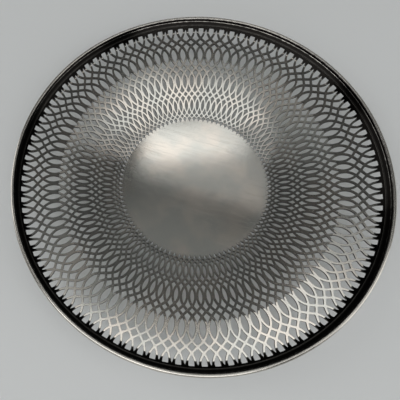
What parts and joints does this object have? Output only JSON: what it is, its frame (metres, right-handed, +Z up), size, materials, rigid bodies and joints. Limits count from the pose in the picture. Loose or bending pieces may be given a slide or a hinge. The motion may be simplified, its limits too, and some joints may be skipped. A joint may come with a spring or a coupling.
{
  "type": "serving dish",
  "caption": "Round shallow serving dish of silvered metal with a plain flat centre, a wide pierced border of interlaced strands and a beaded rim moulding.",
  "frame": {"origin": "centre of the flat underside that the dish rests on", "axes": "+Z up along the dish's axis; X and Y across the dish, with +X through a joint of the weave"},
  "size_m": [0.254, 0.254, 0.0265],
  "materials": {
    "dish_metal": "silver plated, polished, worn with fine scratches and light tarnish",
    "moulding_metal": "silver plated, polished, light tarnish"
  },
  "bodies": {
    "root": {"pierced_dish": "dish_metal", "rim_moulding": "moulding_metal"}
  },
  "joints": []
}
